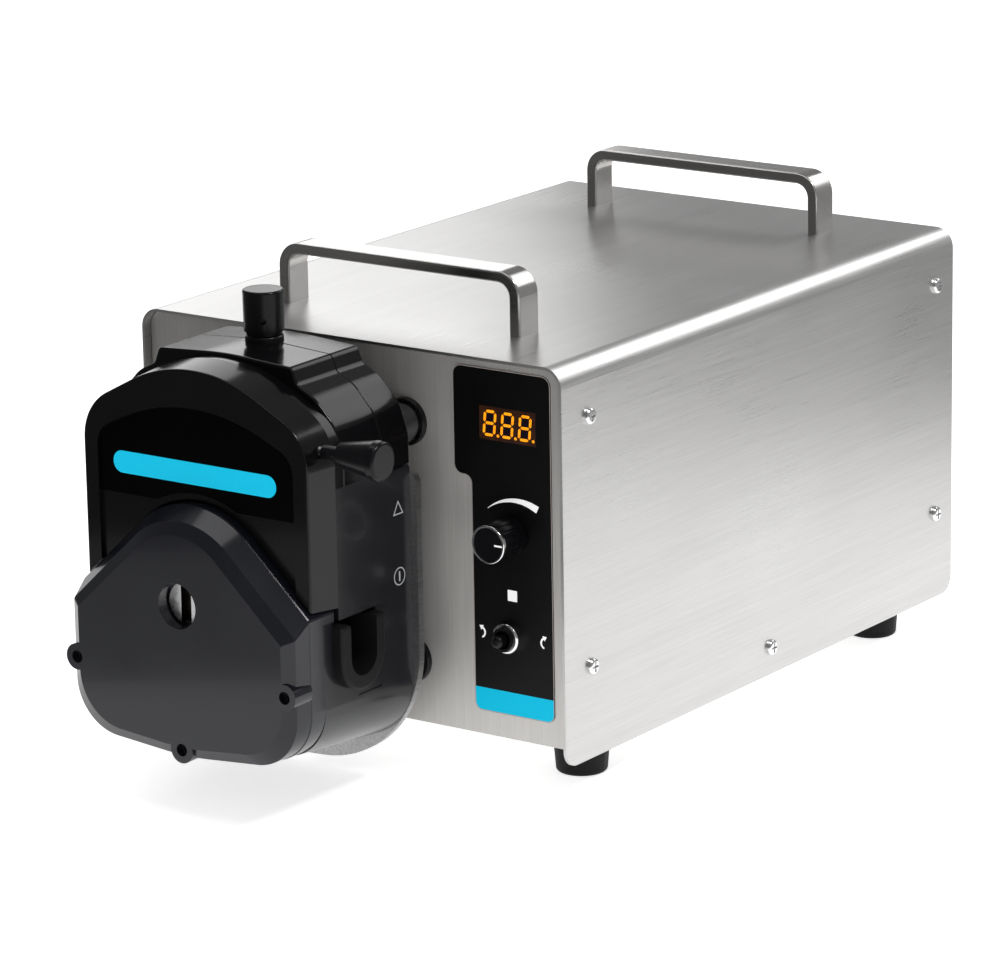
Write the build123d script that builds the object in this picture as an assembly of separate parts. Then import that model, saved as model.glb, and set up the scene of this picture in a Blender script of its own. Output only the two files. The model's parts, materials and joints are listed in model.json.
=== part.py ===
from build123d import *
import math
import os

# Bench peristaltic pump: a stainless drive case with a three-roller pump head on its front.
# Millimetres. +X is the operator's right, +Y runs from the head to the rear, +Z is up.
# The origin is the middle of the footprint, on the surface that the feet stand on.

# Case
CASE_WIDTH = 250.0
CASE_DEPTH = 359.0
CASE_TOP = 211.0
COVER_BOTTOM = 16.0
PANEL_BOTTOM = 24.0
SHEET = 1.5
CASE_CORNER = 10.0
SHEET_CORNER = 9.0
PANEL_RECESS = 5.0
OVERALL_DEPTH = 475.0
CASE_FRONT = 115.0 - OVERALL_DEPTH / 2
CASE_BACK = CASE_FRONT + CASE_DEPTH
PANEL_FRONT = CASE_FRONT + PANEL_RECESS
PANEL_INNER = PANEL_FRONT + SHEET
REAR_OUTER = CASE_BACK - PANEL_RECESS
REAR_INNER = REAR_OUTER - SHEET
FLANGE_DEPTH = 26.0
FIT_GAP = 0.2

# Cover screws, each (y from the case front, z)
SIDE_SCREWS = [(22.5, 184.0), (22.5, 61.5), (342.0, 184.0), (342.0, 61.5), (181.0, 30.0)]
SCREW_HEAD_R = 4.0
SCREW_HEAD_H = 2.2
SCREW_R = 1.95
SCREW_LENGTH = 7.0

# Carrying handles and feet
HANDLE_HALF = 72.0
HANDLE_TOP = 242.0
HANDLE_STRAP = 6.0
HANDLE_WIDTH = 16.5
HANDLE_BEND = 12.0
HANDLE_YS = [CASE_FRONT + 50.5, CASE_FRONT + 318.5]
FOOT_X = 103.0
FOOT_YS = [CASE_FRONT + 45.0, CASE_FRONT + 315.0]
FOOT_TOP_R = 14.5
FOOT_BOTTOM_R = 12.5

# Control panel on the front, right-hand side
OVERLAY_THICK = 0.5
OVERLAY_RIGHT = 115.5
OVERLAY_TOP = 205.0
OVERLAY_BOTTOM = 36.0
OVERLAY_WIDE_LEFT = 59.5
OVERLAY_NARROW_LEFT = 69.5
OVERLAY_STEP = 151.5
WINDOW = (74.5, 107.0, 170.3, 186.8)
SPEED_KNOB = (92.8, 125.7)
SPEED_KNOB_R = 9.25
SPEED_KNOB_REACH = 20.0
TOGGLE = (90.3, 75.0)
TOGGLE_NUT_R = 7.5
TOGGLE_PIVOT = PANEL_FRONT - 1
PIVOT_R = 0.9

# Pump head, in its own frame: x and z from the rotor axis, y in the row frame
HEAD_X = -15.0
HEAD_Z = 103.6
CAP_FRONT = CASE_FRONT - 115.0
CAP_RIDGE = CAP_FRONT + 4.0
CAP_SHOULDER = CASE_FRONT - 102.0
CAP_RISE = 6.0
CAP_SPREAD = 1.5
COVER_RIM = CASE_FRONT - 99.0
RECESS_FLOOR = COVER_RIM + 2.0
CAP_BACK = CASE_FRONT - 91.0
ROOF_BACK = CASE_FRONT - 83.0
COVER_BACK = CASE_FRONT - 80.0
SHOULDER_FRONT = CASE_FRONT - 74.0
SHELL_SPLIT = CASE_FRONT - 43.0
BODY_BACK = CASE_FRONT - 21.5
PLATE_BACK = CASE_FRONT - 17.5
JAW_BOTTOM = -5.0
JAW_TOP = 58.0
JAW_HALF = 68.0
BODY_HALF = 67.5
WALL = 3.0
EDGE_R = 1.2
SLIDE_GAP = 0.4

# Rotor
SHAFT_R = 10.0
SHAFT_FRONT = CASE_FRONT - 108.0
DISC_R = 36.0
DISC_THICK = 3.5
ORBIT_R = 26.5
ROLLER_R = 9.5
ROLLER_FRONT = CASE_FRONT - 82.0
ROLLER_BACK = CASE_FRONT - 52.0
AXLE_R = 4.0
TRACK_R = 42.0
BEARING_R = 16.0
BEARING_WIDTH = 7.0
RUNNING = 0.05
COUPLED_SHAFT_R = 6.95

# Tube channels
CHANNEL_Y = CASE_FRONT - 68.0
CHANNEL_Z = -23.5
CHANNEL_R = 10.0
HOLDER_R = 17.0
HOLDER_TOP = -7.0
HOLDER_INNER = 58.0
HOLDER_OUTER = 73.5

# Cap screws, and the posts that carry the head, as (x, z) from the rotor axis
CAP_SCREWS = [(-62.0, -34.5), (62.0, -34.5), (0.0, -70.4)]
POSTS = [(-47.0, 69.5), (47.0, 69.5), (-47.0, -48.5), (47.0, -48.5)]
POST_R = 10.0

# Jaw lift and cover latch
LIFT_SCREW_R = 4.0
COLUMN_HALF = 14.0
COLUMN_TOP = 74.0
LATCH_Y = CASE_FRONT - 87.0
LATCH_Z = 77.5

# Motor
MOTOR_SIZE = 86.0
MOTOR_LENGTH = 145.0
MOTOR_PILOT_R = 20.0
MOTOR_BOLT = 35.0

# Rear panel: centres (x, z) of what it carries
FAN = (-62.0, 130.0)
FAN_SIZE = 80.0
FAN_BOLT = 35.75
INLET = (82.0, 62.0)
SWITCH = (82.0, 100.0)
CONNECTOR = (82.0, 140.0)


def box(x, y, z):
    """Box between the given (low, high) pairs."""
    size = [high - low for low, high in (x, y, z)]
    middle = [(high + low) / 2 for low, high in (x, y, z)]
    return Pos(*middle) * Box(*size)


def rod_x(radius, x0, x1, y=0.0, z=0.0):
    return Pos((x0 + x1) / 2, y, z) * Rot(0, 90, 0) * Cylinder(radius, x1 - x0)


def rod_y(radius, y0, y1, x=0.0, z=0.0):
    return Pos(x, (y0 + y1) / 2, z) * Rot(90, 0, 0) * Cylinder(radius, y1 - y0)


def rod_z(radius, z0, z1, x=0.0, y=0.0):
    return Pos(x, y, (z0 + z1) / 2) * Cylinder(radius, z1 - z0)


def outline(*corners):
    """Flat face through the corners (x, z, radius), each rounded to its own radius."""
    face = make_face(Polyline([(x, z) for x, z, _ in corners], close=True))
    for x, z, radius in corners:
        if radius:
            face = fillet(face.vertices().sort_by_distance((x, z))[0], radius)
    return face


def symmetric(*right_half):
    """Outline from its right half, listed from the top corner down; x = 0 corners aren't repeated."""
    left_half = [(-x, z, r) for x, z, r in reversed(right_half) if x > 0]
    return outline(*right_half, *left_half)


def slab(face, front, back, taper=0.0):
    """Solid of an XZ outline from y = front to y = back; a taper narrows it towards the front."""
    plane = Plane((0, back, 0), x_dir=(1, 0, 0), z_dir=(0, -1, 0))
    return extrude(plane * face, amount=back - front, taper=taper)


def between(front_face, front, back_face, back):
    """Solid with straight sides from one XZ outline at y = front to another at y = back."""
    planes = [Plane((0, y, 0), x_dir=(1, 0, 0), z_dir=(0, -1, 0)) for y in (back, front)]
    return loft([planes[0] * back_face, planes[1] * front_face], ruled=True)


def side_slab(face, x0, x1):
    """Solid of a YZ outline from x0 to x1."""
    plane = Plane((x0, 0, 0), x_dir=(0, 1, 0), z_dir=(1, 0, 0))
    return extrude(plane * face, amount=x1 - x0)


def turned(points):
    """Solid of revolution about X through (x, r) points."""
    return revolve(make_face(Polyline(points, close=True)), Axis.X)


def group(parts):
    """Separate solids that share one node."""
    return Compound([solid for part in parts for solid in part.solids()])


def both_sides(part):
    """A part and its mirror image across x = 0."""
    return [part, mirror(part, Plane.YZ)]


def in_head(part):
    """Moves a part from the pump head's frame to the row frame."""
    return Pos(HEAD_X, 0, HEAD_Z) * part


def arch(half, top, bottom, slope, crown_r, corner_r):
    """Outline with a round crown, straight shoulders at the slope in degrees, and upright sides."""
    rise = crown_r * (1 / math.cos(math.radians(slope)) - 1)
    eave = top + rise - half * math.tan(math.radians(slope))
    return symmetric((0, top + rise, crown_r), (half, eave, corner_r), (half, bottom, 0))


def pan_screw(head_r, head_h, shank_r, length):
    """Cross-recess pan screw along +Z, its head above z = 0."""
    head = Pos(0, 0, head_h / 2) * Cylinder(head_r, head_h)
    head = fillet(head.edges().sort_by(Axis.Z)[-1], head_h * 0.7)
    arm = head_r * 0.62
    for width, depth in ((arm, head_h * 0.22), (head_h * 0.22, arm)):
        head -= Pos(0, 0, head_h) * Box(2 * width, 2 * depth, head_h)
    return head + rod_z(shank_r, -length, 0)


def socket_screw(head_r, head_h, shank_r, length):
    """Hexagon socket screw along +Z, its head above z = 0."""
    head = rod_z(head_r, 0, head_h)
    head -= Pos(0, 0, head_h) * extrude(RegularPolygon(head_r * 0.55, 6), amount=-head_h * 0.6)
    return head + rod_z(shank_r, -length, 0)


def facing(part, direction, x, y, z):
    """Turns a part made along +Z to face along +X, -X, +Y or -Y, and moves it to its place."""
    turn = {"+X": Rot(0, 90, 0), "-X": Rot(0, -90, 0), "+Y": Rot(-90, 0, 0), "-Y": Rot(90, 0, 0)}
    return Pos(x, y, z) * turn[direction] * part


# Case

def make_outer_cover():
    half = CASE_WIDTH / 2
    shell = outline((-half, COVER_BOTTOM, 0), (-half, CASE_TOP, CASE_CORNER),
                    (half, CASE_TOP, CASE_CORNER), (half, COVER_BOTTOM, 0))
    inner = half - SHEET
    shell -= outline((-inner, 0, 0), (-inner, CASE_TOP - SHEET, CASE_CORNER - SHEET),
                     (inner, CASE_TOP - SHEET, CASE_CORNER - SHEET), (inner, 0, 0))
    cover = slab(shell, CASE_FRONT, CASE_BACK)
    lower = [e for e in cover.edges().filter_by(Axis.X)
             if abs(e.center().Z - COVER_BOTTOM) < 0.1]
    cover = fillet(lower, SHEET_CORNER)
    for y, z in SIDE_SCREWS:
        cover -= rod_x(SCREW_R + 0.3, -half - 1, half + 1, CASE_FRONT + y, z)
    for x, y in handle_screw_places():
        cover -= rod_z(2.3, CASE_TOP - 5, CASE_TOP + 5, x, y)
    return cover


def side_flange(y0, y1, z0, z1):
    outer = CASE_WIDTH / 2 - SHEET - FIT_GAP
    flange = box((outer - SHEET, outer), (y0, y1), (z0, z1))
    for y, z in SIDE_SCREWS:
        flange -= rod_x(SCREW_R + 0.1, outer - 5, outer + 5, CASE_FRONT + y, z)
    return flange


def panel_blank(front, back):
    half = CASE_WIDTH / 2 - SHEET - FIT_GAP
    top = CASE_TOP - SHEET - FIT_GAP
    return slab(outline((-half, PANEL_BOTTOM, 0), (-half, top, CASE_CORNER - SHEET),
                        (half, top, CASE_CORNER - SHEET), (half, PANEL_BOTTOM, 0)), front, back)


def make_front_panel():
    panel = panel_blank(PANEL_FRONT, PANEL_INNER)
    for flange in both_sides(side_flange(PANEL_INNER, PANEL_INNER + FLANGE_DEPTH, 32, 200)):
        panel += flange
    front, back = PANEL_FRONT - 1, PANEL_INNER + 1
    panel -= rod_y(MOTOR_PILOT_R + 0.2, front, back, HEAD_X, HEAD_Z)
    for x, z in POSTS + motor_bolts():
        panel -= rod_y(2.7, front, back, HEAD_X + x, HEAD_Z + z)
    left, right, low, high = WINDOW
    panel -= box((left, right), (front, back), (low, high))
    panel -= rod_y(3.7, front, back, *SPEED_KNOB)
    panel -= rod_y(6.1, front, back, *TOGGLE)
    return panel


def make_rear_panel():
    panel = panel_blank(REAR_INNER, REAR_OUTER)
    for flange in both_sides(side_flange(REAR_INNER - FLANGE_DEPTH, REAR_INNER, 32, 200)):
        panel += flange
    low, high = REAR_INNER - 1, REAR_OUTER + 1
    panel -= rod_y(38, low, high, *FAN)
    for x, z in fan_bolts():
        panel -= rod_y(2.2, low, high, x, z)
    for (x, z), (width, height) in ((INLET, (28, 20)), (SWITCH, (14, 20)), (CONNECTOR, (26, 9))):
        panel -= box((x - width / 2, x + width / 2), (low, high), (z - height / 2, z + height / 2))
    for side in (-20, 20):
        panel -= rod_y(1.7, low, high, INLET[0] + side, INLET[1])
    slot_x = 8.0
    for index in range(6):
        z = 96 + 14 * index
        panel -= box((slot_x, slot_x + 36), (low, high), (z, z + 4))
    return panel


def make_base_panel():
    half = CASE_WIDTH / 2 - SHEET - FIT_GAP
    top = PANEL_BOTTOM + SHEET
    base = box((-half, half), (PANEL_INNER + 0.1, REAR_INNER - 0.1), (PANEL_BOTTOM, top))
    for flange in both_sides(side_flange(CASE_FRONT + 40, CASE_FRONT + 320, top, 44)):
        base += flange
    for x, y in foot_places():
        base -= rod_z(2.2, PANEL_BOTTOM - 1, PANEL_BOTTOM + 5, x, y)
    return base


def make_cover_screws():
    screw = pan_screw(SCREW_HEAD_R, SCREW_HEAD_H, SCREW_R, SCREW_LENGTH)
    half = CASE_WIDTH / 2
    places = [facing(screw, "+X", half, CASE_FRONT + y, z) for y, z in SIDE_SCREWS]
    places += [facing(screw, "-X", -half, CASE_FRONT + y, z) for y, z in SIDE_SCREWS]
    return group(places)


def handle_screw_places():
    return [(side * (HANDLE_HALF - HANDLE_STRAP / 2), y) for side in (-1, 1) for y in HANDLE_YS]


def make_handles():
    inner = HANDLE_HALF - HANDLE_STRAP
    bend = HANDLE_BEND - HANDLE_STRAP + 1
    under = HANDLE_TOP - HANDLE_STRAP + 0.5
    strap = outline((-HANDLE_HALF, CASE_TOP, 0), (-HANDLE_HALF, HANDLE_TOP, HANDLE_BEND),
                    (HANDLE_HALF, HANDLE_TOP, HANDLE_BEND), (HANDLE_HALF, CASE_TOP, 0))
    strap -= outline((-inner, 0, 0), (-inner, under, bend), (inner, under, bend), (inner, 0, 0))
    handles = []
    for y in HANDLE_YS:
        bar = slab(strap, y - HANDLE_WIDTH / 2, y + HANDLE_WIDTH / 2)
        rims = [e for e in bar.edges()
                if abs(e.center().Y - y) > HANDLE_WIDTH / 2 - 0.1 and e.center().Z > CASE_TOP + 0.1]
        bar = fillet(rims, 1.2)
        for x, screw_y in handle_screw_places():
            bar -= rod_z(2.05, CASE_TOP - 1, CASE_TOP + 12, x, screw_y)
        handles.append(bar)
    return group(handles)


def make_handle_screws():
    screw = Rot(180, 0, 0) * pan_screw(SCREW_HEAD_R, SCREW_HEAD_H, SCREW_R, 12)
    return group([Pos(x, y, CASE_TOP - SHEET) * screw for x, y in handle_screw_places()])


def foot_places():
    return [(side * FOOT_X, y) for side in (-1, 1) for y in FOOT_YS]


def make_rubber_feet():
    foot = Pos(0, 0, PANEL_BOTTOM / 2) * Cone(FOOT_BOTTOM_R, FOOT_TOP_R, PANEL_BOTTOM)
    foot = fillet(foot.edges().sort_by(Axis.Z)[0], 2.0)
    foot -= rod_z(5.0, -1, 12)
    foot -= rod_z(2.2, -1, PANEL_BOTTOM + 1)
    return group([Pos(x, y, 0) * foot for x, y in foot_places()])


def make_foot_fasteners():
    screw = Pos(0, 0, 12) * Rot(180, 0, 0) * pan_screw(SCREW_HEAD_R, SCREW_HEAD_H, SCREW_R, 20)
    nut = extrude(RegularPolygon(4.0, 6), amount=3.2) - rod_z(SCREW_R + 0.05, -1, 5)
    nut = Pos(0, 0, PANEL_BOTTOM + SHEET) * nut
    return group([Pos(x, y, 0) * piece for x, y in foot_places() for piece in (screw, nut)])


# Control panel

def make_control_overlay():
    left, narrow, right = OVERLAY_WIDE_LEFT, OVERLAY_NARROW_LEFT, OVERLAY_RIGHT
    sheet = outline((left, OVERLAY_TOP, 5), (right, OVERLAY_TOP, 5), (right, OVERLAY_BOTTOM, 4),
                    (narrow, OVERLAY_BOTTOM, 4), (narrow, OVERLAY_STEP, 4), (left, OVERLAY_STEP, 5))
    overlay = slab(sheet, PANEL_FRONT - OVERLAY_THICK, PANEL_FRONT)
    x0, x1, z0, z1 = WINDOW
    cut = (PANEL_FRONT - 2, PANEL_FRONT + 1)
    overlay -= box((x0, x1), cut, (z0, z1))
    overlay -= rod_y(3.7, *cut, *SPEED_KNOB)
    overlay -= rod_y(6.1, *cut, *TOGGLE)
    return overlay


def make_display_window():
    x0, x1, z0, z1 = WINDOW
    gap = 0.1
    face = PANEL_FRONT - OVERLAY_THICK + gap
    return box((x0 + gap, x1 - gap), (face, PANEL_INNER), (z0 + gap, z1 - gap))


def make_display_module():
    x0, x1, z0, z1 = WINDOW
    back = PANEL_INNER + 9
    module = box((x0 - 2, x1 + 2), (PANEL_INNER, back), (z0 - 2, z1 + 2))
    board = box((x0 - 6, x1 + 4), (back, back + 1.6), (z0 - 10, z1 + 6))
    pins = [rod_y(0.4, back + 1, back + 5, x0 + 4 + 6 * i, z0) for i in range(5)]
    return module + board + pins


def make_speed_knob():
    x, z = SPEED_KNOB
    back = PANEL_FRONT - OVERLAY_THICK - 0.6
    front = back - SPEED_KNOB_REACH + 0.6
    knob = rod_y(SPEED_KNOB_R, front, back)
    rebate = rod_y(SPEED_KNOB_R + 1, front - 1, front + 1.5)
    knob -= rebate - rod_y(SPEED_KNOB_R - 1.1, front - 1, front + 2)
    flutes = 18
    for index in range(flutes):
        turn = math.radians(360 * index / flutes)
        reach = SPEED_KNOB_R + 0.5
        knob -= rod_y(1.0, front + 3, back - 5, reach * math.cos(turn), reach * math.sin(turn))
    knob -= rod_y(7.0, back - 4, back + 1)
    knob -= rod_y(3.0 + RUNNING, front + 5, back)
    return Pos(x, 0, z) * knob


def make_speed_knob_ring():
    x, z = SPEED_KNOB
    front = PANEL_FRONT - OVERLAY_THICK - SPEED_KNOB_REACH
    ring = rod_y(SPEED_KNOB_R + 0.05, front - 0.3, front + 1.5)
    ring = fillet(ring.edges().group_by(Axis.Y)[0], 0.4)
    ring -= rod_y(SPEED_KNOB_R - 1.05, front - 1, front + 2)
    return Pos(x, 0, z) * ring


def make_potentiometer():
    x, z = SPEED_KNOB
    back = PANEL_INNER
    body = rod_y(12, back, back + 12)
    body += box((-5, 5), (back + 4, back + 7), (-18, -8))
    body += rod_y(3.6, PANEL_FRONT - 4.5, back + 1)
    nut_plane = Plane((0, PANEL_FRONT - OVERLAY_THICK, 0), x_dir=(1, 0, 0), z_dir=(0, -1, 0))
    body += extrude(nut_plane * RegularPolygon(5.5, 6), amount=2.5)
    body -= rod_y(3.0 + RUNNING, PANEL_FRONT - 10, back + 10)
    return Pos(x, 0, z) * body


def make_potentiometer_shaft():
    x, z = SPEED_KNOB
    front = PANEL_FRONT - OVERLAY_THICK - SPEED_KNOB_REACH + 5.2
    return rod_y(3.0, front, PANEL_INNER + 9, x, z)


def make_toggle_body():
    x, z = TOGGLE
    body = box((-7, 7), (PANEL_INNER, PANEL_INNER + 18), (-9, 9))
    body += rod_y(5.95, PANEL_FRONT - 7, PANEL_INNER + 1)
    body -= rod_y(4.6, PANEL_FRONT - 10, PANEL_INNER + 6)
    body -= rod_z(PIVOT_R + RUNNING, -5.5, 5.5, 0, TOGGLE_PIVOT)
    for side in (-5, 0, 5):
        body += box((-1.2, 1.2), (PANEL_INNER + 18, PANEL_INNER + 24), (side - 0.4, side + 0.4))
    return Pos(x, 0, z) * body


def make_toggle_nut():
    x, z = TOGGLE
    face = PANEL_FRONT - OVERLAY_THICK
    nut = rod_y(TOGGLE_NUT_R, face - 4.5, face)
    nut = fillet(nut.edges().group_by(Axis.Y)[0], 1.2)
    nut -= rod_y(6.0, face - 6, face + 1)
    return Pos(x, 0, z) * nut


def make_toggle_lever():
    tip = PANEL_FRONT - OVERLAY_THICK - 12
    lever = Pos(0, TOGGLE_PIVOT, 0) * Sphere(3.9)
    lever += Pos(0, (TOGGLE_PIVOT + tip) / 2, 0) * Rot(90, 0, 0) * Cone(2.3, 3.3, TOGGLE_PIVOT - tip)
    lever = fillet(lever.edges().sort_by(Axis.Y)[0], 2.0)
    lever += rod_z(PIVOT_R, -5.2, 5.2, 0, TOGGLE_PIVOT)
    x, z = TOGGLE
    return Pos(x, 0, z) * lever


# Drive and electronics inside the case

def motor_bolts():
    return [(sx * MOTOR_BOLT, sz * MOTOR_BOLT) for sx in (-1, 1) for sz in (-1, 1)]


def rounded_square(size, radius):
    half = size / 2
    return symmetric((half, half, radius), (half, -half, radius))


def make_motor_housing():
    front, back = PANEL_INNER, PANEL_INNER + MOTOR_LENGTH
    housing = slab(rounded_square(MOTOR_SIZE, 12), front, back)
    housing += rod_y(MOTOR_PILOT_R, PANEL_FRONT, front)
    housing -= rod_y(38, front + 14, back + 1)
    housing -= rod_y(16, PANEL_FRONT - 1, front + 4)
    housing -= rod_y(7 + RUNNING, front, front + 20)
    for x, z in motor_bolts():
        housing -= rod_y(2.4, front - 1, front + 10, x, z)
    return in_head(housing)


def make_motor_rear_cap():
    front = PANEL_INNER + MOTOR_LENGTH
    cap = slab(rounded_square(MOTOR_SIZE, 12), front, front + 10)
    cap += slab(rounded_square(60, 8), front + 10, front + 36)
    cap -= rod_y(23, front + 12, front + 33)
    cap -= rod_y(34, front - 1, front + 4)
    cap -= rod_y(5 + RUNNING, front, front + 20)
    return in_head(cap)


def make_motor_shaft():
    front, back = PANEL_INNER, PANEL_INNER + MOTOR_LENGTH
    shaft = rod_y(7, CASE_FRONT - 6.5, front + 24)
    shaft += rod_y(28, front + 24, back - 12)
    shaft += rod_y(5, back - 12, back + 16)
    return in_head(shaft)


def make_m5_screws():
    """Screws for the posts, from inside the case, and for the motor, from the front."""
    long_screw = socket_screw(4.2, 5.0, 2.45, 25)
    short_screw = socket_screw(4.2, 3.0, 2.3, 11)
    screws = [facing(long_screw, "+Y", x, PANEL_INNER, z) for x, z in POSTS]
    screws += [facing(short_screw, "-Y", x, PANEL_FRONT, z) for x, z in motor_bolts()]
    return in_head(group(screws))


def make_power_supply():
    x, y, z = (-112, -16), (CASE_FRONT + 181, CASE_FRONT + 300), (PANEL_BOTTOM + SHEET, 68)
    supply = box(x, y, z)
    rows = range(4)
    for column in range(8):
        for row in rows:
            supply -= rod_z(2.5, z[1] - 1.5, z[1] + 1, x[0] + 12 + 10 * column, y[0] + 50 + 12 * row)
    terminals = box((x[0] + 8, x[1] - 8), (y[0] - 14, y[0]), (z[0], z[0] + 14))
    return supply + terminals


def make_driver_board():
    x, y, floor = (12, 108), (CASE_FRONT + 60, CASE_FRONT + 200), PANEL_BOTTOM + SHEET
    top = floor + 10
    board = box(x, y, (top, top + 1.6))
    for leg_x in (x[0] + 6, x[1] - 6):
        for leg_y in (y[0] + 6, y[1] - 6):
            board += rod_z(3, floor, top, leg_x, leg_y)
    sink = box((x[0] + 8, x[0] + 34), (y[0] + 20, y[1] - 20), (top + 1.6, top + 6))
    for index in range(4):
        fin = x[0] + 9 + 7 * index
        sink += box((fin, fin + 2.5), (y[0] + 20, y[1] - 20), (top + 6, top + 18))
    board += sink
    for index in range(3):
        board += rod_z(9, top + 1.6, top + 32, x[1] - 18, y[0] + 30 + 26 * index)
    return board


# Rear panel

def make_power_inlet():
    x, z = INLET
    inlet = slab(symmetric((25, 11.5, 4), (25, -11.5, 4)), REAR_OUTER, REAR_OUTER + 3)
    inlet += box((-13.8, 13.8), (REAR_INNER - 22, REAR_OUTER + 1), (-9.8, 9.8))
    inlet -= box((-12, 12), (REAR_OUTER - 14, REAR_OUTER + 4), (-8, 8))
    for pin_x, pin_z in ((-7, -2), (0, 2), (7, -2)):
        inlet += box((pin_x - 1, pin_x + 1), (REAR_OUTER - 15, REAR_OUTER - 2), (pin_z - 2, pin_z + 2))
    for side in (-20, 20):
        inlet -= rod_y(1.7, REAR_OUTER - 1, REAR_OUTER + 4, side)
    return Pos(x, 0, z) * inlet


def make_power_switch_body():
    x, z = SWITCH
    body = slab(symmetric((8.5, 11.5, 2), (8.5, -11.5, 2)), REAR_OUTER, REAR_OUTER + 2)
    body += box((-6.8, 6.8), (REAR_INNER - 14, REAR_OUTER + 1), (-9.8, 9.8))
    body -= box((-5.6, 5.6), (REAR_OUTER - 6, REAR_OUTER + 3), (-8.6, 8.6))
    body -= rod_x(PIVOT_R + RUNNING, -6.4, 6.4, REAR_OUTER)
    return Pos(x, 0, z) * body


def make_power_switch_rocker():
    """Rocker resting on its off side."""
    x, z = SWITCH
    profile = [(-2, -7.4), (4.4, -7.4), (2.6, 0), (4.4, 7.4), (-2, 7.4)]
    rocker = side_slab(make_face(Polyline(profile, close=True)), -5.2, 5.2)
    rocker += rod_x(PIVOT_R, -6.2, 6.2)
    return Pos(x, REAR_OUTER, z) * Rot(-8, 0, 0) * rocker


def make_signal_connector():
    x, z = CONNECTOR
    reach = OVERALL_DEPTH / 2
    connector = box((-19.5, 19.5), (REAR_OUTER, REAR_OUTER + 1.2), (-6.2, 6.2))
    shell = outline((-12.5, 4.2, 1.5), (12.5, 4.2, 1.5), (11, -4.2, 1.5), (-11, -4.2, 1.5))
    connector += slab(shell, REAR_INNER - 8, reach)
    connector -= slab(offset(shell, amount=-0.8), REAR_OUTER + 2.4, reach + 1)
    for row_z, count in ((1.6, 8), (-1.6, 7)):
        for index in range(count):
            pin_x = 2.7 * (index - (count - 1) / 2)
            connector += rod_y(0.5, REAR_OUTER + 2, reach - 0.8, pin_x, row_z)
    for side in (-16, 16):
        connector += rod_y(2.4, REAR_OUTER + 1, reach - 0.4, side)
    return Pos(x, 0, z) * connector


def fan_bolts():
    return [(FAN[0] + sx * FAN_BOLT, FAN[1] + sz * FAN_BOLT) for sx in (-1, 1) for sz in (-1, 1)]


def make_fan_frame():
    x, z = FAN
    front, back = REAR_INNER - 25, REAR_INNER
    frame = slab(rounded_square(FAN_SIZE, 6), front, back) - rod_y(38, front - 1, back + 1)
    frame += rod_y(18, front, front + 3)
    for turn in (45, 135, 225, 315):
        frame += Rot(0, turn, 0) * box((17, 39), (front, front + 3), (-2, 2))
    frame += rod_y(3, front + 3, front + 8)
    frame = Pos(x, 0, z) * frame
    for bolt_x, bolt_z in fan_bolts():
        frame -= rod_y(2.2, front - 1, back + 1, bolt_x, bolt_z)
    return frame


def make_fan_rotor():
    x, z = FAN
    front, back = REAR_INNER - 20.5, REAR_INNER - 2
    rotor = rod_y(17.5, front, back)
    middle = (front + back) / 2
    count = 7
    blades = []
    for index in range(count):
        blade = Pos(0, middle, 26.5) * Rot(0, 0, 38) * Box(22, 1.6, 22)
        blades.append(Rot(0, 360 * index / count, 0) * blade)
    rotor += [blade & rod_y(36.8, front, back) for blade in blades]
    rotor -= rod_y(3 + RUNNING, front - 1, front + 3.5)
    return Pos(x, 0, z) * rotor


def make_fan_guard():
    x, z = FAN
    wire = 1.0
    y = REAR_OUTER + wire
    ring_plane = Pos(0, y + 0.5, 0) * Rot(90, 0, 0)
    rings = [ring_plane * Torus(radius, wire) for radius in (10, 18.5, 27, 35.5)]
    guard = rings[0] + rings[1:]
    reach = FAN_BOLT * math.sqrt(2) - 4
    for turn in (45, 135):
        guard += Rot(0, turn, 0) * rod_x(wire, -reach, reach, y, 0)
    for sx in (-1, 1):
        for sz in (-1, 1):
            eye = rod_y(5, y - wire, y + wire, sx * FAN_BOLT, sz * FAN_BOLT)
            guard += eye - rod_y(2.4, y - 3, y + 3, sx * FAN_BOLT, sz * FAN_BOLT)
    return Pos(x, 0, z) * guard


def make_rear_screws():
    guard_face = REAR_OUTER + 2
    fan_screw = pan_screw(3.6, 2.0, 2.0, 26)
    inlet_screw = pan_screw(2.9, 1.6, 1.5, 8)
    screws = [facing(fan_screw, "+Y", x, guard_face, z) for x, z in fan_bolts()]
    for side in (-20, 20):
        screws.append(facing(inlet_screw, "+Y", INLET[0] + side, REAR_OUTER + 3, INLET[1]))
    return group(screws)


# Pump head: fixed parts

def make_standoff_posts():
    posts = []
    for x, z in POSTS:
        post = rod_y(POST_R, PLATE_BACK, PANEL_FRONT, x, z)
        posts.append(post - rod_y(2.6, PLATE_BACK - 1, PANEL_FRONT + 1, x, z))
    return in_head(group(posts))


def make_post_collars():
    collars = []
    for x, z in POSTS:
        collar = rod_y(POST_R + 1.8, PANEL_FRONT - 3, PANEL_FRONT, x, z)
        collar = fillet(collar.edges().group_by(Axis.Y)[0], 1.0)
        collars.append(collar - rod_y(POST_R + RUNNING, PANEL_FRONT - 4, PANEL_FRONT + 1, x, z))
    return in_head(group(collars))


def make_mount_plate():
    face = symmetric((57, 88, 14), (62, 58, 4), (71, 50, 5), (71, -93, 62), (0, -97, 150))
    plate = slab(face, BODY_BACK, PLATE_BACK)
    plate -= rod_y(18, BODY_BACK - 1, PLATE_BACK + 1)
    for x, z in POSTS:
        plate -= rod_y(2.5, BODY_BACK + 0.5, PLATE_BACK + 1, x, z)
    return in_head(plate)


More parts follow.
